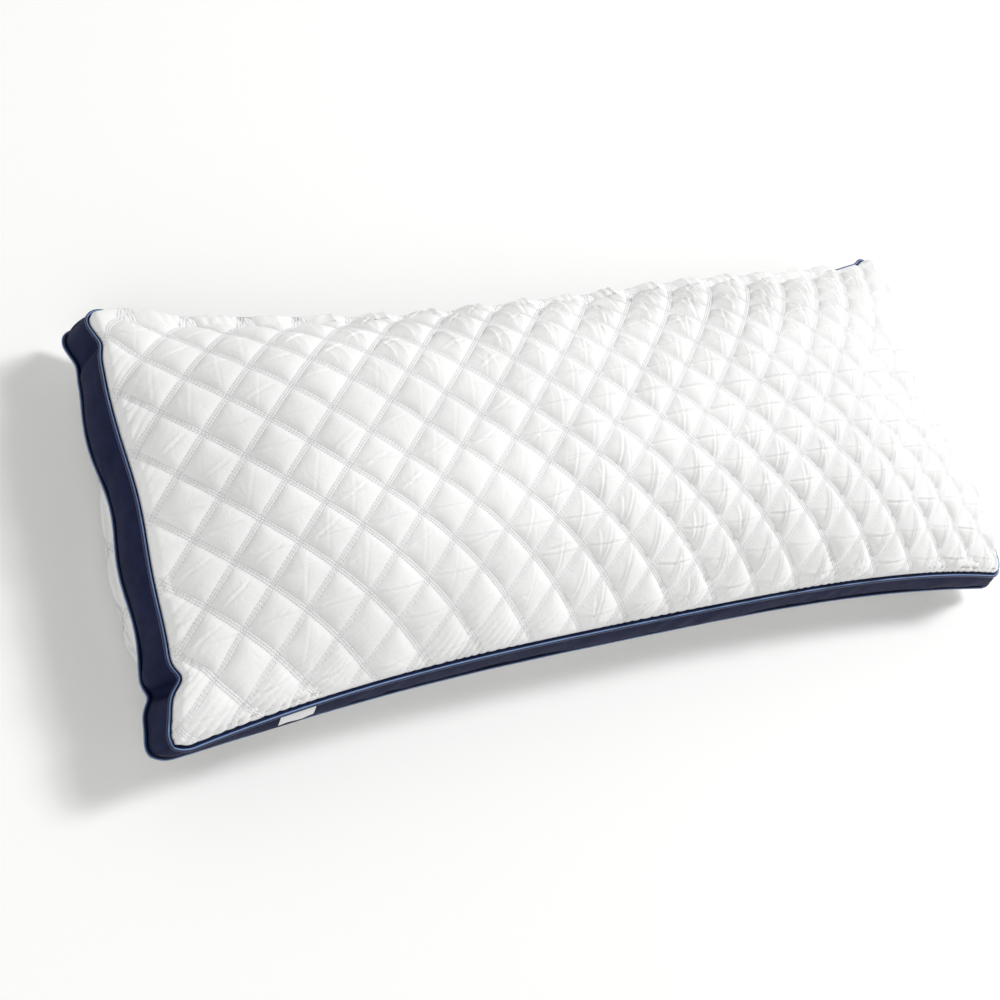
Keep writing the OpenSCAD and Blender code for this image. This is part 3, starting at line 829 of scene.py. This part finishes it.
def quilted_microfibre():
    """Brushed polyester microfibre, quilted by a multi-needle machine.

    The brushing gives a soft, matt white with a faint bloom at grazing angles. Each channel holds
    three rows of needle holes, sunk by the bump and given painted shade as small grey dots between two fine ridges.
    """
    scene = bpy.context.scene
    s, q = scene.pillow_shape, scene.pillow_quilting
    material, node, dress = cloth_material(
        "brushed_microfibre", Roughness=0.82, Sheen_Weight=0.2, Sheen_Roughness=0.45, Specular_IOR_Level=0.25
    )
    gap = line_gap(s, q) * 1000
    row_gap, pitch, half_channel = q.row_gap * 1000, q.pitch * 1000, q.channel * 500
    axes = node("SeparateXYZ", (node("UVMap", uv_map="cloth"),), out=slice(2))
    heights, holes = [], []
    for own, other in (axes, axes[::-1]):
        off = node("Math", (node("Math", (own, 0.5), operation="PINGPONG"), gap), operation="MULTIPLY")
        inside = node("MapRange", (off, half_channel - 0.3, half_channel + 0.4, 1, 0), **SMOOTH)
        row = node("Math", (off, row_gap / 2), operation="PINGPONG")
        steps = node("Math", (other, gap / pitch), operation="MULTIPLY")
        dots = node("Math", (node("Math", (steps, 0.5), operation="PINGPONG"), pitch), operation="MULTIPLY")
        squares = [node("Math", (d, 2), operation="POWER") for d in (row, dots)]
        away = node("Math", (node("Math", squares, operation="ADD"),), operation="SQRT")
        near = node("MapRange", (away, 0.25, 0.8, 1, 0), **SMOOTH)
        hole = node("Math", (near, inside), operation="MULTIPLY")
        dip = node("MapRange", (row, 0.0, row_gap / 2, -0.35, 0.0), **SMOOTH)
        groove = node("Math", (dip, inside), operation="MULTIPLY")
        sunk = node("Math", (hole, 0.3), operation="MULTIPLY")
        heights.append(node("Math", (groove, sunk), operation="SUBTRACT"))
        holes.append(hole)
    hole = node("Math", holes, operation="MAXIMUM")
    spot = node("TexCoord", out="Object")
    # Brushed pile about 0.7 mm long, drawn as loose 1.5 mm clumps so that it shows.
    pile = node("TexNoise", {"Vector": spot, "Scale": 1400.0, "Detail": 3.0, "Roughness": 0.6})
    cloud = node("TexNoise", {"Vector": spot, "Scale": 9.0, "Detail": 2.0})
    # Soft crumples 15 mm apart between the stitched lines.
    soft = node("TexNoise", {"Vector": spot, "Scale": 65.0, "Detail": 2.0, "Distortion": 0.8})
    waves = node("Math", (node("Math", (soft, 2.0), operation="MULTIPLY"), 1.0), operation="PINGPONG")
    crumple = node("Math", (waves, 0.55), operation="MULTIPLY")
    nap = node("Math", (node("Math", (pile, 0.08), operation="MULTIPLY"), crumple), operation="ADD")
    height = node("Math", (node("Math", heights, operation="ADD"), nap), operation="ADD")
    white = tuple(scene.pillow_trim.white)
    pale = tuple(0.5 + 0.5 * c for c in white)
    share = node("MapRange", (cloud, 0.35, 0.65, 0, 1), **SMOOTH)
    plain = node("Mix", {0: share, 6: white + (1.0,), 7: pale + (1.0,)}, **COLOURS)
    # Painted shade in the needle holes: each is mixed up to three tenths of the way to grey.
    shade = node("Math", (hole, 0.3), operation="MULTIPLY")
    dress(node("Mix", {0: shade, 6: plain, 7: linear("#b4b8c2")}, **COLOURS), height, 1.0, 0.001)
    return material


def woven_band():
    """Navy polyester plain weave, calendered: a smooth dark cloth with a dull gloss on its folds."""
    material, node, dress = cloth_material("navy_woven_band", Roughness=0.7, Specular_IOR_Level=0.14)
    navy = tuple(bpy.context.scene.pillow_trim.navy)
    deep, pale = (tuple(c * share for c in navy) + (1.0,) for share in (0.72, 1.25))
    axes = node("SeparateXYZ", (node("UVMap", uv_map="cloth"),), out=slice(2))
    # Real yarns lie about 0.2 mm apart; they are drawn at 0.9 mm so that they show.
    turns = [node("Math", (axis, 2 * math.pi / 0.0009), operation="MULTIPLY") for axis in axes]
    weave = node("Math", [node("Math", (turn,), operation="SINE") for turn in turns], operation="MULTIPLY")
    slub = node("TexNoise", {"Vector": node("TexCoord", out="Object"), "Scale": 60.0, "Detail": 4.0})
    uneven = node("MapRange", (slub, 0.3, 0.7, 0.1, 0.9), **SMOOTH)
    shade = node("Math", (node("Math", (weave, 0.12), operation="MULTIPLY"), uneven), operation="ADD")
    dress(node("Mix", {0: shade, 6: deep, 7: pale}, **COLOURS), weave, 0.6, 0.0002)
    return material


def satin_binding():
    """Navy polyester satin cut on the bias and wrapped round a cord.

    One narrow pale blue line where the bead turns over is a painted highlight, standing for the light its long
    floats catch.
    """
    material, node, dress = cloth_material("navy_satin_binding", Roughness=0.36, Specular_IOR_Level=0.45)
    axes = node("SeparateXYZ", (node("UVMap", uv_map="cloth"),), out=slice(2))
    # Bias twill lines, 0.8 mm apart and slanted.
    slant = node("Math", (axes[0], node("Math", (axes[1], 0.014), operation="MULTIPLY")), operation="ADD")
    turn = node("Math", (slant, 2 * math.pi / 0.0008), operation="MULTIPLY")
    twill = node("Math", (turn,), operation="SINE")
    share = node("MapRange", (twill, -1, 1, 0, 1), **SMOOTH)
    deep = node("Mix", {0: share, 6: linear("#0e1838"), 7: linear("#1a2a58")}, **COLOURS)
    # Painted highlight: pale blue mixed in near the turn of the bead that build_bead sets for each seam.
    away = node("Math", (axes[1],), operation="ABSOLUTE")
    line = node("MapRange", (away, 0.035, 0.075, 1, 0), **SMOOTH)
    dress(node("Mix", {0: line, 6: deep, 7: linear("#7794c2")}, **COLOURS), twill, 0.5, 0.00015)
    return material


def spun_thread(name, light, dark):
    """Spun polyester sewing thread: matt, with the darker line of its twist."""
    material, node, dress = cloth_material(name, Roughness=0.6, Sheen_Weight=0.2, Specular_IOR_Level=0.4)
    # Ply twist of 0.5 mm, drawn as slanted bands.
    bands = {"Vector": node("TexCoord", out="Object"), "Scale": 320.0, "Distortion": 1.5}
    wave = node("TexWave", bands, out="Fac", bands_direction="DIAGONAL")
    dress(node("Mix", {0: wave, 6: linear(dark), 7: linear(light)}, **COLOURS), wave, 0.4, 0.0001)
    return material


def loose_fibre(name, colour, scale):
    """Hollow polyester fibre or cotton, carded and bonded: cloudy and matt."""
    material, node, dress = cloth_material(name, Roughness=0.95, Sheen_Weight=0.4)
    clouds = {"Vector": node("TexCoord", out="Object"), "Scale": scale, "Detail": 6.0, "Distortion": 1.2}
    noise = node("TexNoise", clouds)
    dress(node("Mix", {0: noise, 6: linear(colour), 7: linear("#fafafa")}, **COLOURS), noise, 0.8, 0.001)
    return material


def label_tape():
    """White woven polyester label tape: fine ribs across, with a slight gloss."""
    material, node, dress = cloth_material("woven_label_tape", Roughness=0.5, Specular_IOR_Level=0.4)
    axes = node("SeparateXYZ", (node("UVMap", uv_map="cloth"),), out=slice(2))
    # Ribs 0.7 mm apart.
    turn = node("Math", (axes[1], 2 * math.pi / 0.0007), operation="MULTIPLY")
    rib = node("Math", (turn,), operation="SINE")
    share = node("MapRange", (rib, -1, 1, 0, 1), **SMOOTH)
    dress(node("Mix", {0: share, 6: linear("#e9eaec"), 7: linear("#f6f6f7")}, **COLOURS), rib, 0.5, 0.0001)
    return material


def finish(piece, material, body="pillow"):
    """Gives a piece its one material and the body it rides on."""
    piece.data.materials.clear()
    piece.data.materials.append(material)
    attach(piece, body)


# ---- Operators ----


class PILLOW_OT_panels(Operator):
    """Build both quilted panels"""

    bl_idname = "pillow.panels"
    bl_label = "Quilted panels"

    def execute(self, context):
        cloth = quilted_microfibre()
        for side, front in (("front", True), ("back", False)):
            panel = build_panel("quilted_panel_" + side, front)
            finish(panel, cloth)
            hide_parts(side + "_face_fabric", side + "_batting", side + "_backing")
        return {"FINISHED"}


class PILLOW_OT_stitches(Operator):
    """Build the quilting stitches of both panels"""

    bl_idname = "pillow.stitches"
    bl_label = "Quilting stitches"

    def execute(self, context):
        thread = spun_thread("white_quilting_thread", "#fbfbfc", "#dfe2e8")
        for side, front in (("front", True), ("back", False)):
            stitches = build_stitches("quilting_stitches_" + side, front)
            finish(stitches, thread)
            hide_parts(side + "_quilting_thread")
        return {"FINISHED"}


class PILLOW_OT_gusset(Operator):
    """Build the navy gusset band"""

    bl_idname = "pillow.gusset"
    bl_label = "Gusset band"

    def execute(self, context):
        band, run, height = build_gusset("gusset_cloth")
        finish(band, woven_band())
        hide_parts("gusset_band")
        return {"FINISHED"}


class PILLOW_OT_piping(Operator):
    """Build the piping and the cord inside it, at both seams"""

    bl_idname = "pillow.piping"
    bl_label = "Piping"

    def execute(self, context):
        s, t = context.scene.pillow_shape, context.scene.pillow_trim
        satin = satin_binding()
        cotton = loose_fibre("spun_cotton_cord", "#e6e3da", 900.0)
        u, v = rim_walk()
        for side, front in (("front", True), ("back", False)):
            cover = build_bead("piping_" + side, front)
            finish(cover, satin)
            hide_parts(side + "_piping_cover")
            path = seam_line(s, u, v, front)
            cord = build_round("piping_core_" + side, path, side_way(path), t.bead / 2 - 0.0005, t.bead_out, 8)
            finish(cord, cotton)
            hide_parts(side + "_piping_cord")
        return {"FINISHED"}


class PILLOW_OT_label(Operator):
    """Build the blank care label"""

    bl_idname = "pillow.label"
    bl_label = "Care label"

    def execute(self, context):
        label, flat = build_label("blank_label")
        finish(label, label_tape(), "label")
        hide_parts("care_label")
        return {"FINISHED"}


# Sewing thread's radius, and how far inside the seam line its rows lie.
THREAD, THREAD_IN = 0.0003, -0.0045


class PILLOW_OT_inside(Operator):
    """Build the filling and the threads of the seams"""

    bl_idname = "pillow.inside"
    bl_label = "Filling and threads"

    def execute(self, context):
        s, t = context.scene.pillow_shape, context.scene.pillow_trim
        filling = build_filling("fibre_filling")
        finish(filling, loose_fibre("polyester_fibre_fill", "#eceef0", 90.0))
        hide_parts("fibre_fill")

        white = spun_thread("white_seam_thread", "#f4f4f5", "#d6d9df")
        navy = spun_thread("navy_sewing_thread", "#1c2650", "#11183a")
        u, v = rim_walk()
        front_path, back_path = seam_line(s, u, v, True), seam_line(s, u, v, False)
        front_row = build_round("seam_thread_front", front_path, side_way(front_path), THREAD, THREAD_IN, 6)
        # The stretch of the back seam that was left open for filling has its own thread. The walk
        # is turned to begin just after that stretch.
        low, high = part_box("closing_seam_thread")
        side = 1 if low[1] + high[1] > 0 else -1
        stretch = (v == side) & (back_path[:, 0] > low[0]) & (back_path[:, 0] < high[0])
        after = np.flatnonzero(~stretch & np.roll(stretch, 1))[0]
        stretch, back_path, way = (np.roll(a, -after, 0) for a in (stretch, back_path, side_way(back_path)))
        back_row = build_round("seam_thread_back", back_path[~stretch], way[~stretch], THREAD, THREAD_IN, 6, False)
        closing = build_round("closing_thread", back_path[stretch], way[stretch], THREAD, THREAD_IN, 6, False)
        finish(front_row, white)
        finish(back_row, white)
        finish(closing, navy)
        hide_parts("front_seam_thread")
        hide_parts("back_seam_thread")
        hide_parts("closing_seam_thread")

        # The band's sewn ends: one row of thread down the inside of the groove at the right end.
        w = np.linspace(0.08, 0.92, 40)
        out, aside = (np.tile(way, (len(w), 1)) for way in ([1.0, 0.0, 0.0], [0.0, 1.0, 0.0]))
        row = gusset_point(s, t, np.ones_like(w), 0 * w, w, out, out) - out * 2 * t.cloth
        join = build_round("band_join_thread", row, aside, THREAD, 0.0, 6, False)
        finish(join, navy)
        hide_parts("gusset_join_thread")
        return {"FINISHED"}


# Focal length as a share of the sensor's width, the two tilts and the roll in radians, and the
# place of the pillow's middle in front of the lens.
SENSOR, LENS = 36.0, 1.511
TILT, TURN, ROLL = -0.2481, 0.5247, 0.2866
ASIDE, ABOVE, AWAY = 0.1311, 0.0601, 1.8745
# Half the floor's side.
FAR = 12.0


class PILLOW_OT_stage(Operator):
    """Build the floor, the lights and the camera"""

    bl_idname = "pillow.stage"
    bl_label = "Stage"

    def execute(self, context):
        scene = context.scene
        view = Matrix.Rotation(ROLL, 3, "Z") @ Matrix.Rotation(TILT, 3, "X") @ Matrix.Rotation(TURN, 3, "Y")
        camera = bpy.data.objects.new("camera", bpy.data.cameras.new("camera"))
        scene.collection.objects.link(camera)
        camera.data.sensor_width = SENSOR
        camera.data.lens = SENSOR * LENS
        camera.data.clip_end = 50.0
        seam = Vector((0.0, 0.0, scene.pillow_shape.front_seam))
        place = view.transposed() @ Vector((-ASIDE, -ABOVE, AWAY)) + seam
        camera.matrix_world = Matrix.Translation(place) @ view.transposed().to_4x4()
        scene.camera = camera

        floor_mesh = bpy.data.meshes.new("floor")
        corners = [(-FAR, -FAR, 0), (FAR, -FAR, 0), (FAR, FAR, 0), (-FAR, FAR, 0)]
        floor_mesh.from_pydata(corners, [], [(0, 1, 2, 3)])
        floor = bpy.data.objects.new("floor", floor_mesh)
        scene.collection.objects.link(floor)
        pale = (0.975, 0.975, 0.97, 1.0)
        material, _, _ = cloth_material("pale_floor", Base_Color=pale, Roughness=0.9, Specular_IOR_Level=0.1)
        floor_mesh.materials.append(material)

        world = bpy.data.worlds.new("soft_room")
        world.use_nodes = True
        scene.world = world
        sky = world.node_tree.nodes["Background"]
        sky.inputs["Color"].default_value = (1.0, 1.0, 0.985, 1.0)
        sky.inputs["Strength"].default_value = 0.53
        # Plain display of light values, so that white cloth under full light shows as white.
        scene.view_settings.view_transform = "Standard"
        for name, kind, spot, soft, power in (
            ("sun_light", "SUN", (2.45, 0.65, 2.9), math.radians(12), 0.85),
            ("key_light", "AREA", (2.45, 0.65, 2.9), 0.7, 50.0),
            ("fill_light", "AREA", (-2.2, -1.8, 3.2), 2.5, 20.0),
        ):
            data = bpy.data.lights.new(name, kind)
            if kind == "SUN":
                data.angle = soft
            else:
                data.shape = "DISK"
                data.size = soft
            data.energy = power
            lamp = bpy.data.objects.new(name, data)
            lamp.location = spot
            aim = Vector((0.0, 0.0, 0.1)) - Vector(spot)
            lamp.rotation_euler = aim.to_track_quat("-Z", "Y").to_euler()
            scene.collection.objects.link(lamp)
        return {"FINISHED"}


class PILLOW_PT_sidebar(Panel):
    """Lists the pillow's sizes and its pieces"""

    bl_label = "Bed Pillow"
    bl_idname = "PILLOW_PT_sidebar"
    bl_space_type = "VIEW_3D"
    bl_region_type = "UI"
    bl_category = "Pillow"

    def draw(self, context):
        for group in (context.scene.pillow_shape, context.scene.pillow_quilting, context.scene.pillow_trim):
            box = self.layout.box()
            for key in group.__annotations__:
                box.prop(group, key)
        for operator in PIECES:
            self.layout.operator(operator.bl_idname)


GROUPS = {"pillow_shape": PillowShape, "pillow_quilting": PillowQuilting, "pillow_trim": PillowTrim}
PIECES = (
    PILLOW_OT_panels,
    PILLOW_OT_stitches,
    PILLOW_OT_gusset,
    PILLOW_OT_piping,
    PILLOW_OT_label,
    PILLOW_OT_inside,
    PILLOW_OT_stage,
)


def register():
    for group in (*GROUPS.values(), *PIECES, PILLOW_PT_sidebar):
        bpy.utils.register_class(group)
    for key, group in GROUPS.items():
        setattr(bpy.types.Scene, key, PointerProperty(type=group))


def unregister():
    for key in GROUPS:
        delattr(bpy.types.Scene, key)
    for group in (PILLOW_PT_sidebar, *reversed(PIECES), *GROUPS.values()):
        bpy.utils.unregister_class(group)


def main():
    register()
    for piece in PIECES:
        family, name = piece.bl_idname.split(".")
        getattr(getattr(bpy.ops, family), name)()


if __name__ == "__main__":
    main()
